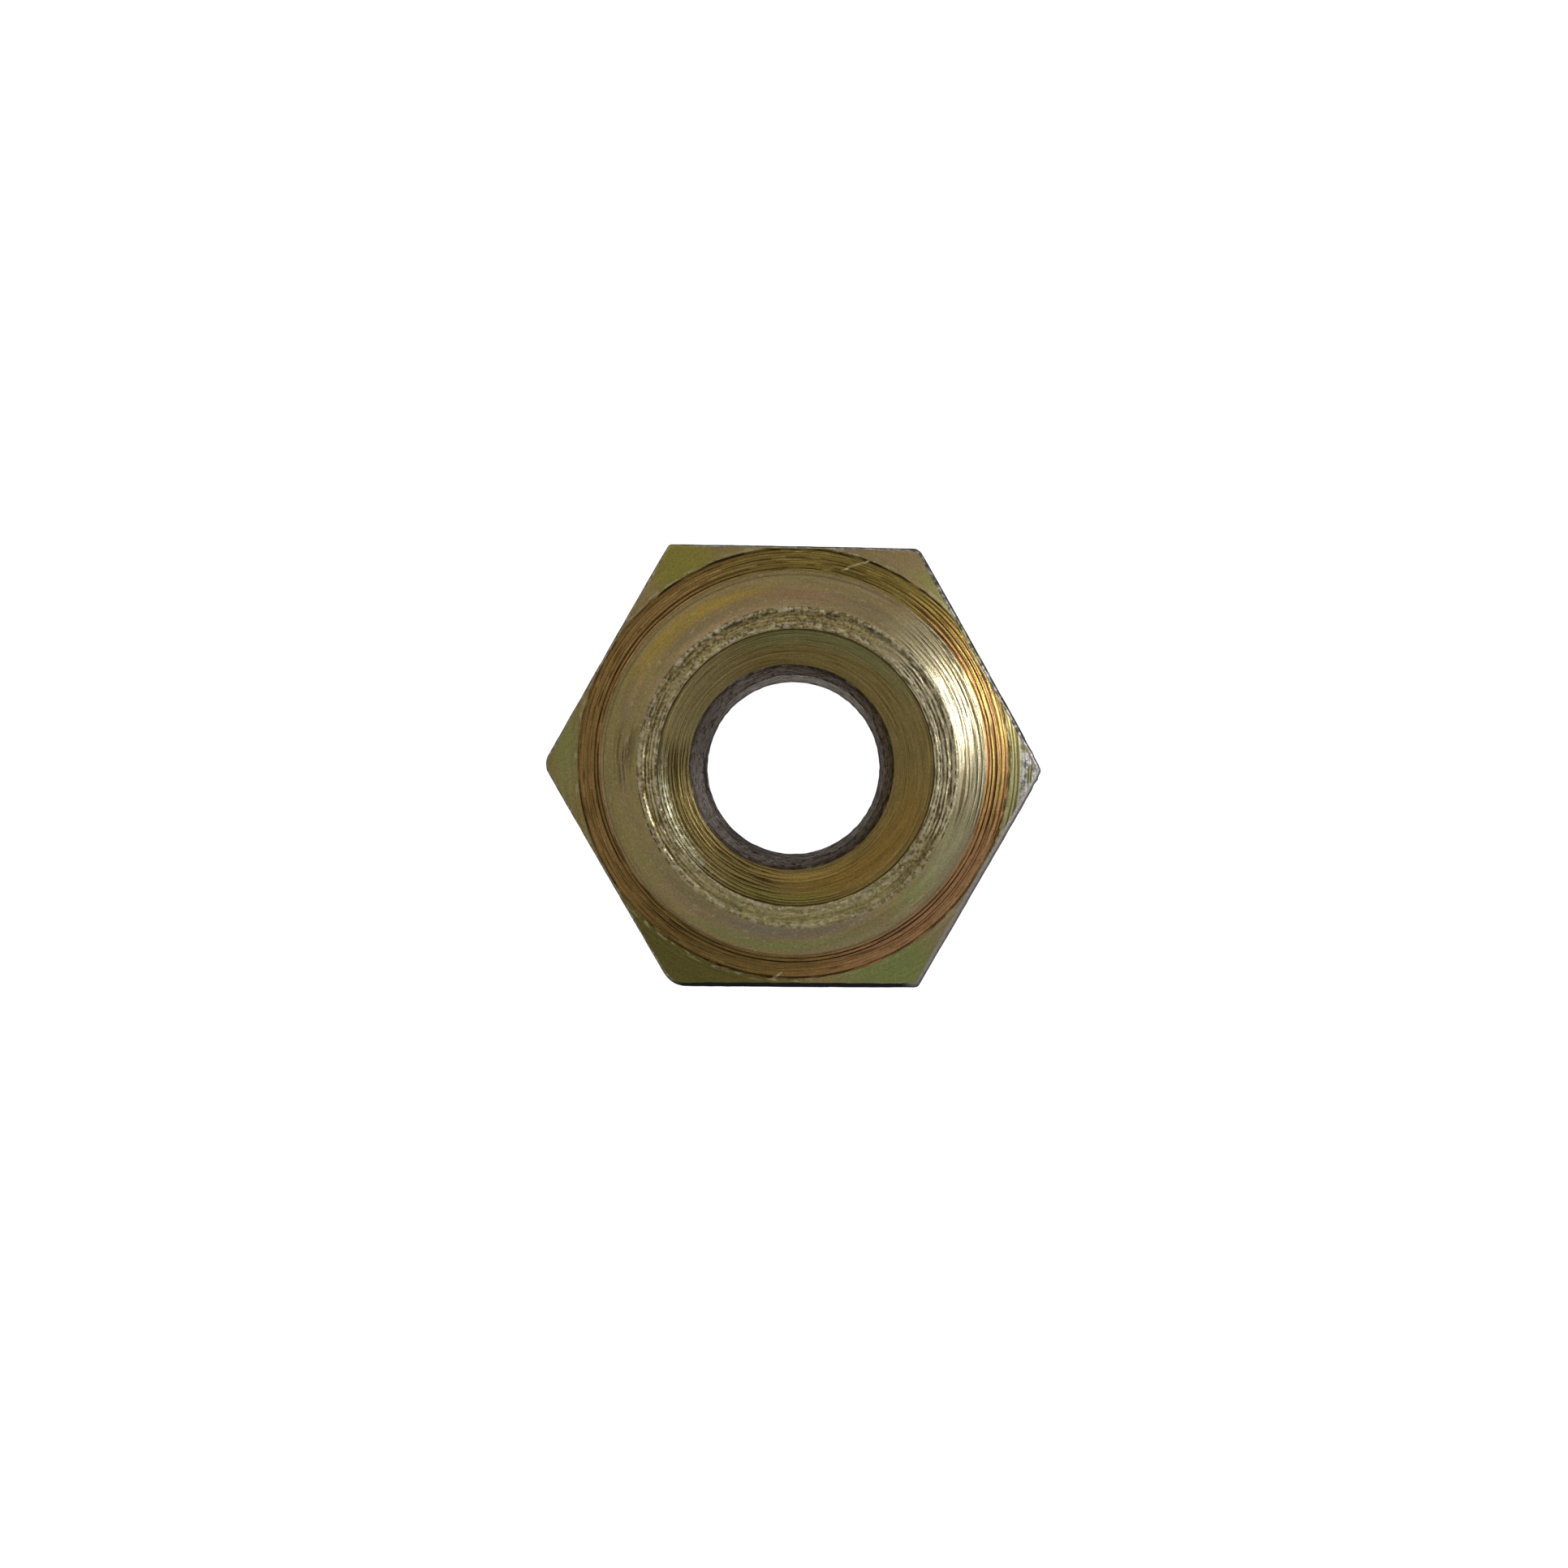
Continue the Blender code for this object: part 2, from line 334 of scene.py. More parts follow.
def dome_rows():
    """The collar's crowned shoulder, from its foot on the band up and in to the rim."""
    top = (RIM_OUTER, NUT_HEIGHT - RIM_DIP)
    crown = arc_points(*top, DOME_TOP_SLOPE, DOME_EDGE_RADIUS, DOME_EDGE_SLOPE, 24)
    edge = arc_points(*crown[-1], DOME_EDGE_SLOPE, COLLAR_RADIUS, math.radians(90), 6)
    outline = list(reversed(crown + edge))
    key_light_side = 1 + 2 * np.clip(np.cos(ANGLES - SCRAPED_SIDE), 0, 1) ** 4
    chatter = key_light_side * DOME_CHATTER * (wander(31, 60, len(outline)) + wander(32, 14, len(outline)))
    foot = band_height(COLLAR_RADIUS)
    foot_line = off_centre(COLLAR_RADIUS, DOME_CENTRE) + ripple(33, 190, 0.014)
    rows = [(foot_line + FOOT_FILLET, steady(foot)), (foot_line, steady(foot + FOOT_FILLET))]
    for (radius, height), wave in zip(outline, chatter):
        share = (radius - RIM_OUTER) / (COLLAR_RADIUS - RIM_OUTER)
        centre = [share * low + (1 - share) * high for low, high in zip(DOME_CENTRE, RIM_OUTER_CENTRE)]
        rows.append((off_centre(radius, centre) + wave, height + wave))
    return rows


def rim_profile(fraction):
    """How far the rim stands over or under its mean height, at this fraction of the way in across it."""
    return sum(height * bump(fraction - place, width) for place, width, height in RIM_FEATURES)


def rim_rows():
    """The lip rolled over the ring: rough, with bruised, slightly raised edges and a row of pits between."""
    outer = off_centre(RIM_OUTER - 0.02, RIM_OUTER_CENTRE) + ripple(41, 150, 0.02) + ripple(42, 30, 0.014)
    inner = off_centre(RIM_INNER, RIM_INNER_CENTRE) + ripple(43, 130, 0.014) + ripple(44, 24, 0.01)
    fractions = steps(18, first=True)
    coarse = wander(45, 120, len(fractions)) * 0.006
    fine = wander(46, 300, len(fractions)) * 0.008
    deepen = 0.8 + 0.7 * wander(48, 170)[0]
    rows = []
    for fraction, slow, quick in zip(fractions, coarse, fine):
        radius = outer + (inner - outer) * fraction
        height = NUT_HEIGHT - RIM_DIP + rim_profile(fraction) * deepen + slow + quick
        rows.append((radius, np.minimum(height, NUT_HEIGHT)))
    for depth, inset in ((0.03, 0.0), (RIM_WALL, 0.02)):
        rows.append((inner - inset + ripple(47, 90, 0.008), steady(NUT_HEIGHT - RIM_DIP - depth)))
    return rows


def pocket_rows():
    """The hidden inside: under the rim, the ring's pocket, the ledge, and the relief down to the thread."""
    ceiling = RING_TOP + SNUG_GAP
    pocket = RING_OUTER + SNUG_GAP
    ledge = RING_TOP - POCKET_DEPTH - SNUG_GAP
    corners = (
        (RIM_INNER + 0.1, ceiling),
        (pocket, ceiling),
        (pocket, ledge),
        (RELIEF_RADIUS, ledge),
        (RELIEF_RADIUS, THREAD_TOP),
        (5.0, THREAD_TOP),
    )
    rows = [(steady(radius), steady(height)) for radius, height in corners]
    return rows + [(off_centre(COUNTERSINK_RADIUS, BORE_CENTRE), steady(THREAD_TOP))]


def thread_lines():
    """One pitch of the 60 degree thread, as (height, radius) pairs: root, flank, crest, flank."""
    root_half_width = THREAD_PITCH / 16
    flank_height = (ROOT_RADIUS - CREST_RADIUS) * math.tan(math.radians(30))
    middle_radius = (ROOT_RADIUS + CREST_RADIUS) / 2
    crest_start = root_half_width + flank_height
    return [
        (-root_half_width, ROOT_RADIUS),
        (root_half_width, ROOT_RADIUS),
        (root_half_width + flank_height / 2, middle_radius),
        (crest_start, CREST_RADIUS),
        (THREAD_PITCH - crest_start, CREST_RADIUS),
        (THREAD_PITCH - root_half_width - flank_height / 2, middle_radius),
    ]


def thread_points():
    """The right-hand thread with its countersinks: lines that climb a pitch in a turn, from the top down."""
    profile = thread_lines()
    turns = math.ceil(THREAD_TOP / THREAD_PITCH) + 1
    angles = np.append(ANGLES, 2 * math.pi)
    ragged = ripple(51, 110, 0.01)
    ragged = np.append(ragged, ragged[0])
    lines = []
    for line in range(turns * len(profile), -1, -1):
        offset, radius = profile[line % len(profile)]
        height = (line // len(profile) - 1 + angles / (2 * math.pi)) * THREAD_PITCH + offset
        height = np.clip(height, 0, THREAD_TOP)
        mouth = np.minimum(height, THREAD_TOP - height) / math.tan(COUNTERSINK_SLOPE)
        reach = np.maximum(radius + ragged, COUNTERSINK_RADIUS - mouth)
        reach = off_centre(reach, BORE_CENTRE, angles)
        lines.append(np.column_stack((reach * np.cos(angles), reach * np.sin(angles), height)))
    return lines


def dish_centre(fraction):
    """The centre of the dish's circles, which drifts from the rim's inner edge to the gripping edge."""
    return [(1 - fraction) * high + fraction * low for high, low in zip(RIM_INNER_CENTRE, GRIP_CENTRE)]


def dish_rows():
    """The ring's upper side: the flat under the rim and the turned dish with its deeper tool lines."""
    rows = [(steady(radius), steady(RING_TOP)) for radius in (RING_OUTER, SEAT_INNER)]
    fractions = steps(44, first=True)
    chatter = DISH_CHATTER * (wander(61, 22, len(fractions)) + wander(62, 120, len(fractions)))
    strengths = 0.5 + 0.9 * wander(64, 9, len(DISH_LINES))
    for fraction, wave in zip(fractions, chatter):
        radius = DISH_OUTER + (DISH_INNER - DISH_OUTER) * fraction
        height = RING_TOP - (DISH_OUTER - radius) * math.tan(DISH_SLOPE)
        cut = steady(0)
        for (place, depth), strength in zip(DISH_LINES, strengths):
            cut += depth * bump(radius - place, DISH_LINE_WIDTH) * np.clip(strength, 0, 1)
        rows.append((off_centre(radius, dish_centre(fraction)), height - cut + wave))
    return rows


def grip_rows():
    """The steep inner edge that rubs on the bolt, squeezed slightly oval."""
    dish_bottom = RING_TOP - (DISH_OUTER - DISH_INNER) * math.tan(DISH_SLOPE)
    land_top = RING_BOTTOM + GRIP_LAND
    edge = off_centre(GRIP_RADIUS - GRIP_PINCH * (1 + np.cos(2 * ANGLES)) / 2, BORE_CENTRE)
    start = off_centre(DISH_INNER, GRIP_CENTRE)
    *ragged, land_ragged = wander(63, 150, 9) * 0.01
    rows = []
    for fraction, rough in zip(steps(8), ragged):
        radius = start + (edge - start) * fraction + rough
        rows.append((radius, steady(dish_bottom + (land_top - dish_bottom) * fraction)))
    rows.append((edge - GRIP_BULGE + land_ragged, steady(land_top - GRIP_BULGE_DEPTH)))
    rows.append((edge + land_ragged, steady(RING_BOTTOM)))
    return rows


def ring_underside_rows():
    """The ring's lower side, out to its outer edge."""
    climb = RING_TOP - POCKET_DEPTH - RING_BOTTOM
    foot = DISH_OUTER - (RING_TOP - POCKET_DEPTH / math.cos(DISH_SLOPE) - RING_BOTTOM) / math.tan(DISH_SLOPE)
    rows = []
    for fraction in steps(5, first=True):
        radius = foot + climb / math.tan(DISH_SLOPE) * fraction
        rows.append((steady(radius), steady(RING_BOTTOM + climb * fraction)))
    rows.append((steady(RING_OUTER), steady(RING_BOTTOM + climb)))
    return rows


def join_rows(shape, first, second, finish):
    """A strip of faces between two rows, each face with this finish's number."""
    for i in range(COLUMNS):
        face = shape.faces.new((first[i], first[i + 1], second[i + 1], second[i]))
        face.material_index = finish


def add_rows(shape, rows, finish, above=None):
    """Adds closed rows of points and the strips between them, on from the row above if there is one."""
    for radii, heights in rows:
        x = radii * np.cos(ANGLES) * MM
        y = radii * np.sin(ANGLES) * MM
        z = heights * MM
        row = [shape.verts.new(point) for point in zip(x, y, z)]
        row.append(row[0])
        if above:
            join_rows(shape, above, row, finish)
        above = row
    return above


def add_sections(shape, sections):
    """Adds each section's rows in turn, with its place in the list as its finish's number."""
    above = None
    for number, (rows, _) in enumerate(sections):
        above = add_rows(shape, rows, number, above)
    return above


def add_thread(shape, finish):
    """Adds the thread's own strip, whose rows aren't closed: their two ends lie one pitch apart."""
    above = None
    for line in thread_points():
        row = [shape.verts.new(point * MM) for point in line]
        if above:
            join_rows(shape, above, row, finish)
        above = row


def finished_piece(name, shape, sections):
    """Merges coincident points, shades the shape smooth but for its creases, and gives it its finishes."""
    bmesh.ops.remove_doubles(shape, verts=shape.verts, dist=MERGE_DISTANCE)
    bmesh.ops.dissolve_degenerate(shape, edges=shape.edges, dist=MERGE_DISTANCE)
    mesh = bpy.data.meshes.new(name)
    shape.to_mesh(mesh)
    shape.free()
    for _, finish in sections:
        mesh.materials.append(finish)
    mesh.shade_smooth()
    mesh.set_sharp_from_angle(angle=CREASE_ANGLE)
    piece = bpy.data.objects.new(name, mesh)
    bpy.context.scene.collection.objects.link(piece)
    return piece


def make_body():
    """The hexagon, band, collar, rim and thread, as one closed surface."""
    reach = hexagon_reach()
    sections = [
        (bearing_rows(), bearing_finish()),
        (flank_rows(reach), flank_finish()),
        (edge_rows(reach), edge_finish()),
        (shoulder_rows(reach), shoulder_finish()),
        (band_rows(reach), band_finish()),
        (dome_rows(), dome_finish()),
        (rim_rows(), rim_finish()),
        (pocket_rows(), bore_finish()),
    ]
    shape = bmesh.new()
    add_sections(shape, sections)
    add_thread(shape, len(sections) - 1)
    return finished_piece("turned_body", shape, sections)


def make_ring():
    """The spring ring that lies under the rim, as one closed surface."""
    dish = dish_finish()
    sections = [(dish_rows(), dish), (grip_rows(), grip_finish()), (ring_underside_rows(), dish)]
    shape = bmesh.new()
    last = add_sections(shape, sections)
    first = list(shape.verts)[:COLUMNS]
    join_rows(shape, last, first + first[:1], len(sections) - 1)
    return finished_piece("spring_ring", shape, sections)


# ---- Finishes --------------------------------------------------------------------------------------


class Finish:
    """A plated steel material in the making: its colour so far, and the coordinates its textures share.

    Its circles run round the centre. Sloping says which way the surface falls: 1 where it falls away from
    the bore, -1 where it falls towards it.
    """

    def __init__(self, name, color, centre=(0.0, 0.0), sloping=1):
        self.color = color
        self.material = bpy.data.materials.new(name)
        self.material.use_nodes = True
        self.tree = self.material.node_tree
        self.shader = self.tree.nodes["Principled BSDF"]
        self.shader.inputs["Metallic"].default_value = 1.0
        place = self.add("ShaderNodeTexCoord", {}).outputs["Object"]
        self.place = self.vector("MULTIPLY", place, (1 / MM,) * 3)
        from_centre = self.vector("SUBTRACT", self.place, (*centre, 0))
        parts = self.add("ShaderNodeSeparateXYZ", {0: from_centre}).outputs
        flat = self.add("ShaderNodeCombineXYZ", {0: parts[0], 1: parts[1]}).outputs[0]
        self.radius = self.add("ShaderNodeVectorMath", {0: flat}, operation="LENGTH").outputs["Value"]
        self.around = self.add("ShaderNodeVectorMath", {0: flat}, operation="NORMALIZE").outputs[0]
        self.across = self.number("SUBTRACT" if sloping > 0 else "ADD", self.radius, parts[2])

    def add(self, kind, inputs, **settings):
        """A new node: its settings, then a value or another node's output for each input."""
        node = self.tree.nodes.new(kind)
        for name, value in settings.items():
            setattr(node, name, value)
        for socket, value in inputs.items():
            if isinstance(value, bpy.types.NodeSocket):
                self.tree.links.new(value, node.inputs[socket])
            else:
                node.inputs[socket].default_value = value
        return node

    # Arithmetic

    def number(self, operation, first, second=0.0, clamp=False):
        """One step of arithmetic on numbers."""
        inputs = {0: first, 1: second}
        return self.add("ShaderNodeMath", inputs, operation=operation, use_clamp=clamp).outputs[0]

    def vector(self, operation, first, second):
        """One step of arithmetic on vectors."""
        return self.add("ShaderNodeVectorMath", {0: first, 1: second}, operation=operation).outputs[0]

    def component(self, vector, direction):
        """How far a vector goes in this direction."""
        node = self.add("ShaderNodeVectorMath", {0: vector, 1: direction}, operation="DOT_PRODUCT")
        return node.outputs["Value"]

    def together(self, *values):
        """Values added together."""
        total = values[0]
        for value in values[1:]:
            total = self.number("ADD", total, value)
        return total

    def overlap(self, *masks):
        """Masks multiplied together."""
        product = masks[0]
        for mask in masks[1:]:
            product = self.number("MULTIPLY", product, mask)
        return product

    # Textures

    def noise(self, vector, detail=2.0):
        """Fractal noise over this vector, mostly between 0.3 and 0.7."""
        inputs = {"Vector": vector, "Scale": 1.0, "Detail": detail, "Roughness": 0.5}
        return self.add("ShaderNodeTexNoise", inputs).outputs[0]

    def grain(self, per_mm, detail=2.0):
        """Noise that is alike in all directions, with so many lumps in a millimetre."""
        return self.noise(self.vector("MULTIPLY", self.place, (per_mm,) * 3), detail)

    def drawn(self, across, along):
        """Noise drawn out along the bore, as on cold-drawn bar, by its lumps in a millimetre each way."""
        return self.noise(self.vector("MULTIPLY", self.place, (across, across, along)), 3.0)

    def streaks(self, turns, per_mm, detail=2.0, start=0.0):
        """Noise drawn out along the turning marks.

        More turns makes shorter streaks, per_mm sets how narrow they are, and start picks another pattern.
        """
        along = self.vector("MULTIPLY", self.around, (turns, turns, 0))
        height = self.number("ADD", self.number("MULTIPLY", self.across, per_mm), start)
        upward = self.add("ShaderNodeCombineXYZ", {2: height}).outputs[0]
        return self.noise(self.vector("ADD", along, upward), detail)

    def feed(self, pitch, start=0.0):
        """Even tool lines a pitch apart, wavering a little: 0 in the grooves and 1 on the lands."""
        waver = self.number("MULTIPLY", self.streaks(1.6, 2.5, detail=3.0, start=start), 12.0)
        phase = self.number("ADD", self.number("MULTIPLY", self.radius, 2 * math.pi / pitch), waver)
        return self.number("ADD", self.number("MULTIPLY", self.number("SINE", phase), 0.5), 0.5)

    def level(self, texture, low, high):
        """Turns a texture into a value between low and high."""
        inputs = {"Value": texture, "From Min": 0.3, "From Max": 0.7, "To Min": low, "To Max": high}
        return self.add("ShaderNodeMapRange", inputs).outputs[0]

    # Masks

    def rise(self, value, low, high):
        """A mask: 0 below low, 1 above high, smooth between. With low over high it falls instead."""
        inputs = {"Value": value, "From Min": low, "From Max": high}
        return self.add("ShaderNodeMapRange", inputs, interpolation_type="SMOOTHSTEP").outputs[0]

    def toward(self, degrees, spread):
        """1 on the side of the nut that faces this way, falling to 0 at the spread in degrees either side."""
        facing = (math.cos(math.radians(degrees)), math.sin(math.radians(degrees)), 0)
        return self.rise(self.component(self.around, facing), math.cos(math.radians(spread)), 1.0)

    def side(self, degrees, spread, full):
        """As toward, but 1 already where toward has risen to full."""
        return self.rise(self.toward(degrees, spread), 0.0, full)

    def near(self, radius, width):
        """1 on a circle of this radius, falling to 0 at the width either side of it."""
        off = self.number("ABSOLUTE", self.number("SUBTRACT", self.radius, radius))
        return self.rise(off, width, 0.0)

    def rings(self, radii, width):
        """1 on each of these circles, falling to 0 at the width either side of it."""
        total = 0.0
        for radius in radii:
            total = self.number("ADD", self.near(radius, width), total, clamp=True)
        return total

    def scratch(self, start, end, width):
        """1 along a mark between two places, each a (radius, degrees) pair, and 0 at the width beside it."""
        first, last = [
            radius * np.array((math.cos(math.radians(degrees)), math.sin(math.radians(degrees)), 0))
            for radius, degrees in (start, end)
        ]
        length = float(np.linalg.norm(last - first))
        along = (last - first) / length
        offset = self.vector("SUBTRACT", self.place, tuple(first))
        across = self.component(offset, (-along[1], along[0], 0))
        waver = self.number("MULTIPLY", self.number("SUBTRACT", self.grain(2.5, 1.0), 0.5), 0.2)
        line = self.rise(self.number("ABSOLUTE", self.number("ADD", across, waver)), width, 0.0)
        from_middle = self.number("SUBTRACT", self.component(offset, tuple(along)), length / 2)
        ends = self.rise(self.number("ABSOLUTE", from_middle), length / 2, length / 2 - 0.1)
        return self.overlap(line, ends)

    # Colour

    def mix(self, amount, first, second, blend="MIX"):
        """Two colours mixed."""
        inputs = {0: amount, 6: self.opaque(first), 7: self.opaque(second)}
        return self.add("ShaderNodeMix", inputs, data_type="RGBA", blend_type=blend).outputs[2]

    def opaque(self, color):
        """A colour with its alpha, or another node's output as it is."""
        return color if isinstance(color, bpy.types.NodeSocket) else (*color, 1.0)

    def paint(self, tint, *masks):
        """Lays a tint over the colour so far, where all of the masks overlap."""
        self.color = self.mix(self.overlap(*masks), self.color, tint)

    def stain(self, *patches):
        """Lays tints over the colour so far: the film's own tints, and in some finishes painted highlight or
        shade.

        Each patch is (direction, spread, circle, tint, strength). The circle is the (radius, width) that the
        patch keeps to, or None for any radius.
        """
        for degrees, spread, circle, tint, strength in patches:
            mask = self.toward(degrees, spread)
            if circle:
                mask = self.overlap(mask, self.near(*circle))
            self.paint(tint, mask, strength)

    def shade(self, texture, low, high):
        """Darkens or lightens the colour so far by a texture, from low to high."""
        amount = self.level(texture, low, high)
        grey = self.add("ShaderNodeCombineColor", {0: amount, 1: amount, 2: amount}).outputs[0]
        self.color = self.mix(1.0, self.color, grey, "MULTIPLY")

    def finish(self, roughness, relief, relief_mm):
        """Mottles the film, sends colour, roughness and bump to the shader, and gives the material back."""
        self.shade(self.grain(15.0, 2.0), 0.8, 1.2)
        bump_inputs = {"Height": relief, "Distance": relief_mm * MM, "Strength": 1.0}
        normal = self.add("ShaderNodeBump", bump_inputs).outputs[0]
        for socket, value in (("Base Color", self.color), ("Roughness", roughness), ("Normal", normal)):
            self.tree.links.new(value, self.shader.inputs[socket])
        return self.material


GOLD = (0.48, 0.33, 0.13)
TAN = (0.42, 0.31, 0.15)
OLIVE = (0.30, 0.27, 0.07)
COPPER = (0.46, 0.255, 0.125)
BROWN = (0.26, 0.16, 0.05)
LIGHT_BROWN = (0.34, 0.205, 0.075)
ROSE = (0.42, 0.27, 0.18)
# Pale tint for the painted highlight on the collar's crown near +X.
HIGHLIGHT_PALE = (0.84, 0.77, 0.52)
STEEL = (0.55, 0.52, 0.44)
WORN_STEEL = (0.42, 0.41, 0.38)
WORN_EDGE = (0.42, 0.4, 0.37)
LILAC_EDGE = (0.4, 0.365, 0.36)
MAUVE = (0.22, 0.19, 0.18)
SMOKE = (0.24, 0.21, 0.19)
# Near black, laid in specks as painted shade on the edge along the flat that faces about 30 degrees.
SPECKLED_SHADE = (0.05, 0.05, 0.045)
# Near black: painted shade along the hexagon's edge on -Y, and the real dark specks on the worn corner on +X.
SPECK_AND_SHADE_BLACK = (0.025, 0.025, 0.032)
# Dark brown: the real dark pits, dashes and lines, and painted shade under the rim and at the band's outer
# step and grooves.
DARK_MARK_AND_SHADE = (0.045, 0.03, 0.012)


def bearing_finish():
    """The bearing face: yellow plating over coarse facing marks."""
    look = Finish("bearing_plating", TAN)
    look.paint(OLIVE, look.rise(look.grain(0.25), 0.35, 0.65))
    marks = look.streaks(turns=2.0, per_mm=9.0, detail=3.0)
    look.shade(marks, 0.75, 1.2)
    return look.finish(look.level(marks, 0.42, 0.3), marks, 0.02)


def flank_finish():
    """The flats of the drawn bar: long faint marks along the bore, olive to gold, scuffed here and there."""
    look = Finish("flat_plating", GOLD)
    look.paint(OLIVE, look.rise(look.grain(0.22), 0.35, 0.65))
    look.paint(ROSE, look.rise(look.grain(0.4), 0.5, 0.75))
    marks = look.drawn(9.0, 0.7)
    look.shade(marks, 0.7, 1.15)
    scuffs = look.rise(look.drawn(1.1, 0.5), 0.58, 0.75)
    look.paint(STEEL, scuffs, look.level(marks, 0.0, 0.5))
    return look.finish(look.level(marks, 0.42, 0.3), marks, 0.012)


def edge_finish():
    """The hexagon's worn upper edge: grey where the plating is thin, with painted shade in dark specks near
    30 degrees and nearly black painted shade along the flat on -Y.
    """
    look = Finish("edge_plating", MAUVE)
    specks = look.grain(6.0, 3.0)
    look.paint(WORN_EDGE, look.rise(specks, 0.4, 0.65))
    look.paint(OLIVE, look.rise(look.grain(0.6), 0.45, 0.6), 0.6)
    # Painted shade: the edge along the flat facing about 30 degrees is darkened in specks on that side.
    look.paint(SPECKLED_SHADE, look.rise(look.grain(4.0, 3.0), 0.4, 0.6), look.side(28, 42, 0.4), 0.9)
    look.paint(LILAC_EDGE, look.side(328, 42, 0.4), 0.75)
    # Painted shade: the edge along the flat on -Y, turned away from the key light, is painted nearly black.
    look.paint(SPECK_AND_SHADE_BLACK, look.side(270, 33, 0.3))
    return look.finish(look.level(specks, 0.5, 0.35), specks, 0.01)


def shoulder_finish():
    """The smooth turned corners: green and tan plating, worn to grey metal on the corner on +X, with painted
    highlight in light and dark tool lines near +X and painted shade on the corner near 240 degrees.
    """
    look = Finish("corner_plating", (0.30, 0.235, 0.085), BAND_CENTRE)
    look.paint((0.36, 0.265, 0.125), look.rise(look.grain(0.3, 1.0), 0.35, 0.65))
    look.stain(
        (62, 26, None, (0.32, 0.24, 0.12), 0.9),
        (47, 14, (8.7, 0.5), (0.27, 0.27, 0.08), 0.8),
        (120, 12, None, (0.30, 0.27, 0.055), 0.9),
        (178, 16, (8.8, 0.7), (0.32, 0.31, 0.11), 0.9),
        # Painted shade: the corner facing 240 degrees, away from the key light, is tinted dark.
        (240, 40, None, (0.16, 0.14, 0.04), 1.0),
        (296, 18, None, (0.26, 0.30, 0.1), 0.9),
        (318, 14, None, (0.33, 0.28, 0.16), 0.8),
        (352, 22, None, (0.27, 0.25, 0.12), 0.9),
    )
    marks = look.streaks(turns=2.0, per_mm=9.0, detail=3.0)
    look.shade(marks, 0.9, 1.08)
    # Painted highlight: on the side that faces the key light the lands are painted light and the feed grooves
    # dark.
    turned = look.side(6, 34, 0.4)
    lands = look.feed(0.17, 4.0)
    look.paint((0.07, 0.055, 0.015), turned, look.rise(lands, 0.45, 0.1), 0.8)
    look.paint((0.45, 0.43, 0.2), turned, look.rise(lands, 0.8, 1.0), 0.5)
    worn = look.overlap(look.side(0, 26, 0.6), look.rise(look.radius, 8.62, 8.9))
    look.paint(WORN_STEEL, worn, look.rise(look.grain(3.0, 3.0), 0.38, 0.5))
    look.paint(SPECK_AND_SHADE_BLACK, worn, look.rise(look.grain(6.0, 3.0), 0.52, 0.6), 0.7)
    burr = look.rise(look.streaks(turns=20.0, per_mm=8.0, detail=3.0), 0.5, 0.6)
    look.paint((0.45, 0.4, 0.22), look.near(BAND_OUTER + 0.06, 0.13), burr, 0.8)
    relief = look.together(look.overlap(marks, 0.25), look.overlap(lands, turned, 0.6))
    return look.finish(look.level(marks, 0.42, 0.34), relief, 0.012)


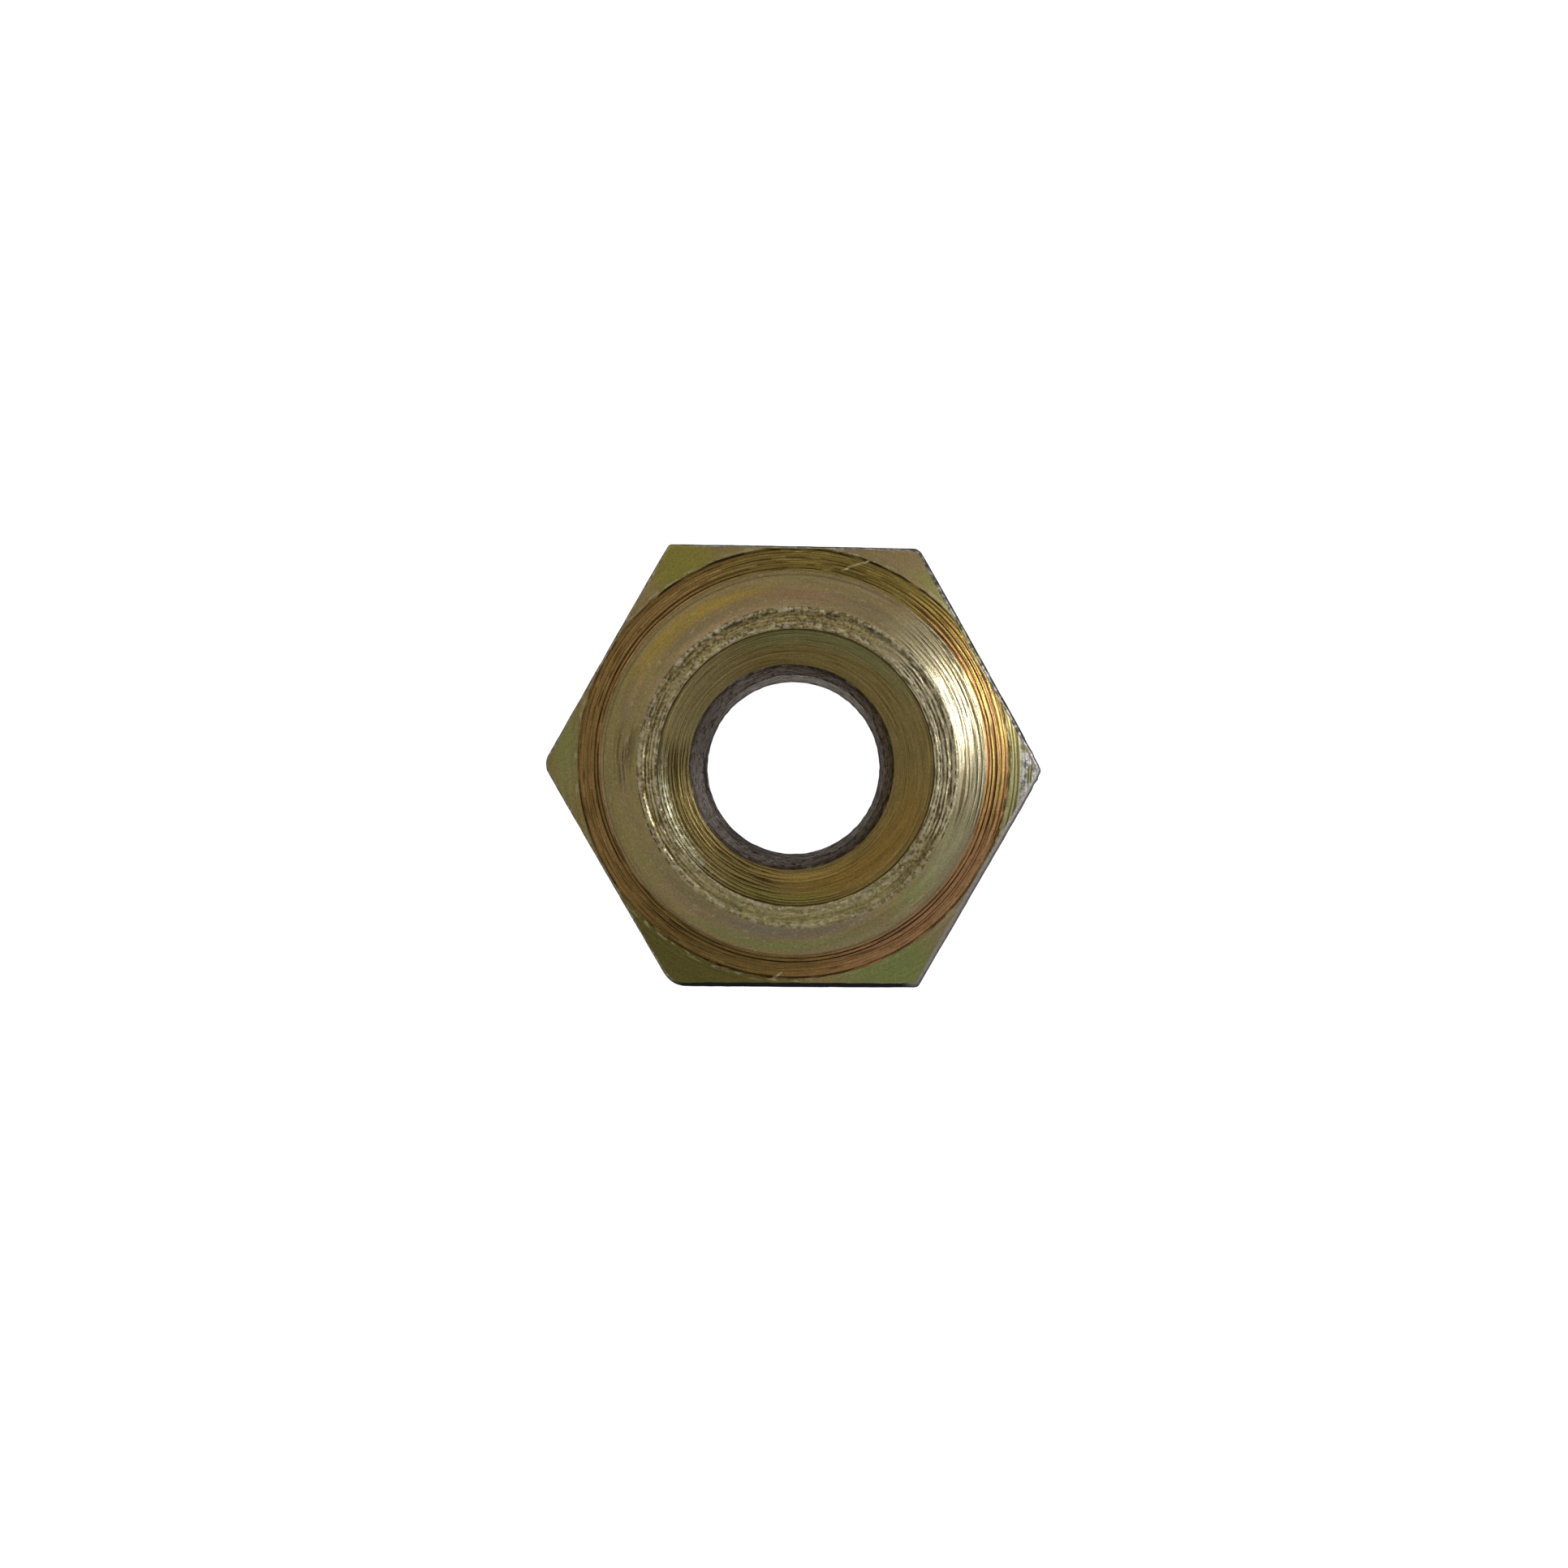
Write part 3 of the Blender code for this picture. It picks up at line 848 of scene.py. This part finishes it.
def band_finish():
    """The coarsely turned band: brown and copper plating in narrow rings, rosier near +X, where the lands
    carry painted highlight in orange and yellow and the grooves painted shade; painted shade also darkens the
    deeper grooves and the outer step.
    """
    look = Finish("band_plating", BROWN, BAND_CENTRE)
    look.paint(LIGHT_BROWN, look.rise(look.streaks(turns=0.8, per_mm=7.0), 0.35, 0.65))
    look.paint((0.36, 0.23, 0.1), look.near(7.35, 0.35), 0.3)
    look.stain(
        (75, 50, None, (0.25, 0.19, 0.05), 0.8),
        (245, 30, None, (0.2, 0.135, 0.04), 0.7),
        (320, 50, None, COPPER, 0.85),
        (5, 42, None, (0.42, 0.245, 0.115), 0.9),
    )
    # Painted highlight: on the side facing the key light the lands are painted orange and yellow and the feed
    # grooves dark.
    turned = look.side(16, 46, 0.5)
    lands = look.feed(0.17, 2.0)
    yellower = look.rise(look.streaks(turns=1.2, per_mm=6.0, start=9.0), 0.45, 0.55)
    highlight_hues = look.mix(yellower, (0.62, 0.32, 0.12), (0.62, 0.5, 0.11))
    look.paint(highlight_hues, turned, look.rise(lands, 0.35, 0.8), 0.75)
    look.paint((0.1, 0.045, 0.015), turned, look.rise(lands, 0.45, 0.12), 0.85)
    marks = look.streaks(turns=6.0, per_mm=24.0, detail=3.0)
    look.shade(marks, 0.8, 1.2)
    broken = look.rise(look.streaks(turns=1.3, per_mm=9.0, detail=3.0, start=2.0), 0.44, 0.58)
    # Painted shade: the deeper grooves are darkened in broken rings.
    look.paint(DARK_MARK_AND_SHADE, look.rings(grooves_over(SHADED_GROOVE_DEPTH), 0.03), broken, 0.6)
    dashes = look.rise(look.streaks(turns=7.0, per_mm=13.0, start=21.0), 0.58, 0.66)
    look.paint(DARK_MARK_AND_SHADE, dashes, 0.6)
    # Painted shade: a ragged dark line along the band's outer step, strongest towards the top.
    edge = look.rise(look.radius, BAND_OUTER - 0.12, BAND_OUTER - 0.04)
    ragged = look.rise(look.streaks(turns=9.0, per_mm=5.0, detail=3.0, start=7.0), 0.42, 0.54)
    anywhere = look.level(look.streaks(turns=1.0, per_mm=1.0, detail=1.0), 0.3, 0.9)
    strength = look.together(look.overlap(look.toward(88, 60), 1.2), anywhere)
    look.paint(DARK_MARK_AND_SHADE, edge, ragged, strength)
    # Painted shade: the deepest grooves are darkened further on the side towards 250 degrees.
    deepest = look.rings(grooves_over(DARKEST_GROOVE_DEPTH), 0.04)
    look.paint(DARK_MARK_AND_SHADE, deepest, look.side(250, 95, 0.5), look.level(marks, 0.4, 1.0), 0.85)
    for start, end in (((8.55, 69), (7.7, 77)), ((8.2, 264.5), (7.95, 267.5))):
        look.paint((0.62, 0.55, 0.3), look.scratch(start, end, 0.06), 0.8)
    relief = look.together(look.overlap(marks, 0.7), look.overlap(lands, turned, 0.35))
    return look.finish(look.level(marks, 0.42, 0.3), relief, 0.016)


def dome_finish():
    """The collar's crown: smooth tan and gold film with green and rosy tints, and near +X a painted
    highlight, pale with dark tool lines.
    """
    look = Finish("dome_plating", (0.44, 0.31, 0.165), DOME_CENTRE)
    look.paint((0.37, 0.30, 0.12), look.rise(look.streaks(turns=1.6, per_mm=1.4, detail=3.0), 0.35, 0.65))
    look.stain(
        (92, 32, (6.5, 0.4), (0.45, 0.28, 0.15), 0.9),
        (125, 36, (6.9, 0.7), (0.56, 0.38, 0.07), 0.9),
        (60, 22, (6.5, 0.8), (0.34, 0.27, 0.14), 0.8),
        (240, 40, (6.4, 0.5), (0.29, 0.24, 0.13), 0.8),
        (272, 32, (6.4, 0.4), (0.27, 0.23, 0.18), 0.8),
        (266, 36, (6.9, 0.3), (0.27, 0.33, 0.11), 0.8),
        (325, 26, (6.75, 0.55), (0.40, 0.44, 0.19), 0.85),
        (118, 34, (6.35, 0.3), (0.33, 0.25, 0.12), 0.8),
        (325, 60, (7.1, 0.35), (0.5, 0.42, 0.24), 0.7),
        (100, 60, (7.15, 0.3), (0.45, 0.35, 0.18), 0.6),
        # Painted highlight: the next three tints pale the crown where the key light's highlight falls, less
        # so at its foot near 30 degrees.
        (337, 24, None, (0.52, 0.48, 0.3), 0.5),
        (17, 42, None, HIGHLIGHT_PALE, 0.9),
        (30, 30, (7.15, 0.3), (0.5, 0.42, 0.22), 0.7),
    )
    marks = look.streaks(turns=9.0, per_mm=20.0, detail=3.0)
    # Painted highlight and shade: on the side facing the key light the feed grooves are painted dark and fine
    # streaks darker.
    key_light_side = look.side(15, 42, 0.45)
    wide_lands = look.rise(look.streaks(turns=1.4, per_mm=5.0, start=12.0), 0.48, 0.6)
    lands = look.number("MAXIMUM", look.feed(0.16, 3.0), wide_lands)
    fine = look.rise(look.streaks(turns=3.0, per_mm=14.0, detail=3.0, start=3.0), 0.5, 0.6)
    look.paint((0.06, 0.05, 0.02), key_light_side, look.rise(lands, 0.45, 0.1), 0.92)
    look.paint((0.25, 0.2, 0.09), fine, look.together(look.overlap(key_light_side, 0.4), 0.2))
    look.shade(marks, 0.93, 1.07)
    clouds = look.rise(look.streaks(turns=3.0, per_mm=2.0, detail=4.0, start=17.0), 0.4, 0.62)
    look.paint((0.26, 0.2, 0.11), clouds, 0.3)
    smudge = look.rise(look.streaks(turns=4.0, per_mm=10.0, start=5.0), 0.4, 0.62)
    look.paint((0.13, 0.1, 0.04), look.toward(177, 14), look.near(6.5, 0.6), smudge)
    specks = look.rise(look.streaks(turns=22.0, per_mm=7.0, start=9.0), 0.63, 0.7)
    look.paint((0.55, 0.47, 0.3), specks, 0.5)
    mark_depth = look.together(look.overlap(key_light_side, 0.4), 0.1)
    relief = look.together(look.overlap(marks, mark_depth), look.overlap(lands, key_light_side, 0.7))
    return look.finish(look.level(marks, 0.33, 0.25), relief, 0.016)


def rim_finish():
    """The rolled lip: dull olive and brown strands, worn bright in flecks along both edges, with painted
    highlight in cream and dark tool lines near 10 and 190 degrees.
    """
    look = Finish("rim_plating", (0.12, 0.09, 0.035), RIM_OUTER_CENTRE)
    pits = look.grain(9.0, 4.0)
    strands = look.streaks(turns=4.0, per_mm=10.0, detail=3.0, start=8.0)
    texture = look.overlap(look.together(pits, strands), 0.5)
    look.paint((0.32, 0.26, 0.12), look.rise(texture, 0.4, 0.58))
    look.stain((20, 50, None, (0.34, 0.3, 0.2), 0.6), (270, 60, None, (0.31, 0.275, 0.13), 0.5))
    uneven = look.level(look.streaks(turns=10.0, per_mm=12.0, detail=4.0, start=14.0), 0.0, 1.0)
    lands = look.together(look.overlap(look.feed(0.14, 5.0), 0.4), look.overlap(uneven, 0.6))
    # Painted highlight: towards 10 and 190 degrees the lands are painted cream and the grooves dark.
    highlit_sides = look.together(look.side(10, 45, 0.5), look.overlap(look.toward(190, 55), 0.55))
    look.paint((0.6, 0.54, 0.36), highlit_sides, look.rise(lands, 0.54, 0.68), 0.85)
    look.paint((0.06, 0.04, 0.015), highlit_sides, look.rise(lands, 0.44, 0.32), 0.85)
    outer_edge = look.near(RIM_OUTER - 0.03, 0.25)
    inner_edge = look.near(RIM_INNER + 0.14, 0.2)
    flecks = look.rise(look.grain(5.0, 4.0), 0.47, 0.58)
    look.paint((0.48, 0.43, 0.3), look.number("ADD", outer_edge, inner_edge, clamp=True), flecks, 0.7)
    pitted = look.rise(look.streaks(turns=18.0, per_mm=6.0, start=3.0), 0.48, 0.58)
    look.paint(DARK_MARK_AND_SHADE, look.near(RIM_OUTER - 0.13, 0.1), pitted, look.toward(95, 95), 0.85)
    relief = look.together(texture, look.overlap(highlit_sides, lands, 0.5))
    return look.finish(look.level(pits, 0.48, 0.32), relief, 0.024)


def bore_finish():
    """The tapped bore and the hidden pocket: grey-brown, thinly plated steel with tool marks, with painted
    light towards 90 degrees and painted shade towards 205.
    """
    look = Finish("bore_plating", SMOKE, BORE_CENTRE, sloping=-1)
    # Painted light and shade: lighter on the side towards 90 degrees, darker on the side towards 205.
    look.stain((90, 75, None, (0.45, 0.41, 0.38), 0.9), (205, 95, None, (0.12, 0.1, 0.09), 0.95))
    marks = look.streaks(turns=8.0, per_mm=16.0, detail=3.0)
    look.shade(marks, 0.6, 1.5)
    return look.finish(look.level(marks, 0.5, 0.35), marks, 0.02)


def dish_finish():
    """The ring's turned dish: olive and gold film over fine tool lines, with painted highlight between -X and
    -Y and painted shadow under the rim.
    """
    look = Finish("dish_plating", (0.32, 0.245, 0.09), RIM_INNER_CENTRE, sloping=-1)
    look.paint((0.37, 0.275, 0.105), look.rise(look.streaks(turns=0.8, per_mm=1.5, detail=1.0), 0.35, 0.65))
    look.stain(
        (75, 60, (5.05, 0.55), (0.27, 0.28, 0.12), 0.8),
        (150, 40, None, (0.44, 0.37, 0.17), 0.8),
        (310, 60, (4.6, 1.0), (0.42, 0.255, 0.06), 0.8),
        (265, 26, (5.0, 0.35), (0.34, 0.32, 0.08), 0.8),
        (270, 32, (4.2, 0.3), (0.62, 0.42, 0.13), 0.7),
        (192, 30, None, (0.14, 0.11, 0.045), 0.9),
        (200, 32, (4.75, 0.4), (0.075, 0.06, 0.02), 0.8),
        # Painted highlight: a pale tint where the key light's reflection falls on the dish.
        (203, 30, (5.15, 0.4), (0.24, 0.23, 0.14), 0.85),
    )
    bright = look.side(215, 60, 0.6)
    lines = look.streaks(turns=2.0, per_mm=13.0)
    marks = look.streaks(turns=5.0, per_mm=24.0, detail=3.0)
    lands = look.feed(0.14, 1.0)
    look.paint((0.1, 0.07, 0.015), look.rise(lines, 0.56, 0.64), 0.35)
    # Painted shade: the feed grooves are painted dark inside the highlight towards 215 degrees.
    look.paint((0.06, 0.04, 0.01), bright, look.rise(lands, 0.4, 0.1), look.rise(marks, 0.35, 0.5))
    look.shade(marks, 0.82, 1.18)
    # Painted highlight: pale glinting specks near the rim where the dish's highlight falls.
    glint_specks = look.rise(look.grain(4.5, 4.0), 0.47, 0.56)
    look.paint((0.42, 0.41, 0.29), look.toward(205, 38), look.near(5.15, 0.4), glint_specks, 0.8)
    # Painted shadow: the ring is darkened under the rim's inner edge.
    shadow_under_rim = look.rise(look.radius, RIM_INNER - 0.07, RIM_INNER - 0.03)
    look.paint(DARK_MARK_AND_SHADE, shadow_under_rim, 0.8)
    double_line = look.rings((5.16, 5.07), 0.03)
    look.paint(DARK_MARK_AND_SHADE, double_line, look.toward(272, 32), 0.8)
    relief = look.together(lines, marks, look.overlap(bright, lands, 0.6))
    return look.finish(look.level(marks, 0.42, 0.32), relief, 0.01)


def grip_finish():
    """The ring's gripping edge: matt purple-grey metal, where the film has worn off."""
    look = Finish("grip_steel", (0.19, 0.155, 0.135), GRIP_CENTRE, sloping=-1)
    marks = look.streaks(turns=7.0, per_mm=13.0, detail=3.0)
    look.paint((0.33, 0.28, 0.26), look.rise(marks, 0.35, 0.65))
    look.stain((0, 70, None, (0.25, 0.19, 0.11), 0.7), (190, 75, None, (0.1, 0.085, 0.08), 0.95))
    pits = look.streaks(turns=18.0, per_mm=12.0, start=6.0)
    look.paint(DARK_MARK_AND_SHADE, look.rise(pits, 0.54, 0.62), 0.75)
    lip = look.rise(look.streaks(turns=9.0, per_mm=7.0, start=2.0), 0.36, 0.5)
    look.paint(DARK_MARK_AND_SHADE, look.near(DISH_INNER - 0.05, 0.16), lip, 0.75)
    return look.finish(look.level(marks, 0.62, 0.5), look.together(marks, pits), 0.012)


# ---- Floor, light and camera -----------------------------------------------------------------------

FLOOR_HALF_WIDTH = 1.5
FLOOR_HEIGHT = -0.02 * MM
CAMERA_LENS = 181.2
CAMERA_PLACE = (-0.00037, -0.0007, 0.31)
CAMERA_ROLL = math.radians(0.35)


def make_floor():
    """A plain pale floor, lit from within so that it fades to white."""
    low, high = -FLOOR_HALF_WIDTH, FLOOR_HALF_WIDTH
    corners = [(x, y, FLOOR_HEIGHT) for x, y in ((low, low), (high, low), (high, high), (low, high))]
    mesh = bpy.data.meshes.new("floor")
    mesh.from_pydata(corners, [], [(0, 1, 2, 3)])
    floor = bpy.data.objects.new("floor", mesh)
    bpy.context.scene.collection.objects.link(floor)
    paint = bpy.data.materials.new("pale_floor")
    paint.use_nodes = True
    shader = paint.node_tree.nodes["Principled BSDF"]
    shader.inputs["Base Color"].default_value = (0.3, 0.3, 0.3, 1)
    shader.inputs["Roughness"].default_value = 0.9
    shader.inputs["Emission Color"].default_value = (1, 1, 1, 1)
    shader.inputs["Emission Strength"].default_value = 1.0
    mesh.materials.append(paint)
    floor.visible_glossy = False
    floor.visible_diffuse = False


def make_light(name, azimuth, elevation, distance, size, power):
    """A square soft box, aimed at the nut."""
    light = bpy.data.lights.new(name, "AREA")
    light.shape = "SQUARE"
    light.size = size
    light.energy = power
    lamp = bpy.data.objects.new(name, light)
    bpy.context.scene.collection.objects.link(lamp)
    turn, lift = math.radians(azimuth), math.radians(elevation)
    flat = distance * math.cos(lift)
    lamp.location = (flat * math.cos(turn), flat * math.sin(turn), distance * math.sin(lift))
    lamp.rotation_euler = (math.radians(90) - lift, 0, turn + math.radians(90))
    lamp.visible_camera = False


def make_room():
    """A dim grey room that darkens below the horizon."""
    world = bpy.data.worlds.new("room")
    world.use_nodes = True
    tree = world.node_tree
    background = tree.nodes["Background"]
    background.inputs["Color"].default_value = (1.0, 0.98, 0.95, 1)
    coordinates = tree.nodes.new("ShaderNodeTexCoord")
    parts = tree.nodes.new("ShaderNodeSeparateXYZ")
    tree.links.new(coordinates.outputs["Generated"], parts.inputs[0])
    glow = tree.nodes.new("ShaderNodeMapRange")
    glow.interpolation_type = "SMOOTHSTEP"
    for socket, value in (("From Min", -0.25), ("From Max", 0.35), ("To Min", 0.18), ("To Max", 0.45)):
        glow.inputs[socket].default_value = value
    tree.links.new(parts.outputs[2], glow.inputs["Value"])
    tree.links.new(glow.outputs[0], background.inputs["Strength"])
    bpy.context.scene.world = world


def make_camera():
    """Looks straight down on the nut from high above it, through a long lens."""
    camera = bpy.data.cameras.new("camera")
    camera.sensor_width = 36
    camera.lens = CAMERA_LENS
    camera.clip_start = 0.01
    viewer = bpy.data.objects.new("camera", camera)
    viewer.location = CAMERA_PLACE
    viewer.rotation_euler = (0, 0, CAMERA_ROLL)
    bpy.context.scene.collection.objects.link(viewer)
    bpy.context.scene.camera = viewer


body = make_body()
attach(body, "root")
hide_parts("nut_body")

ring = make_ring()
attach(ring, "root")
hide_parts("locking_ring")

make_floor()
make_room()
make_light("key_light", azimuth=20, elevation=33, distance=0.4, size=0.13, power=0.62)
make_light("top_light", azimuth=110, elevation=74, distance=0.6, size=0.3, power=0.2)
make_camera()
bpy.context.scene.view_settings.view_transform = "Standard"
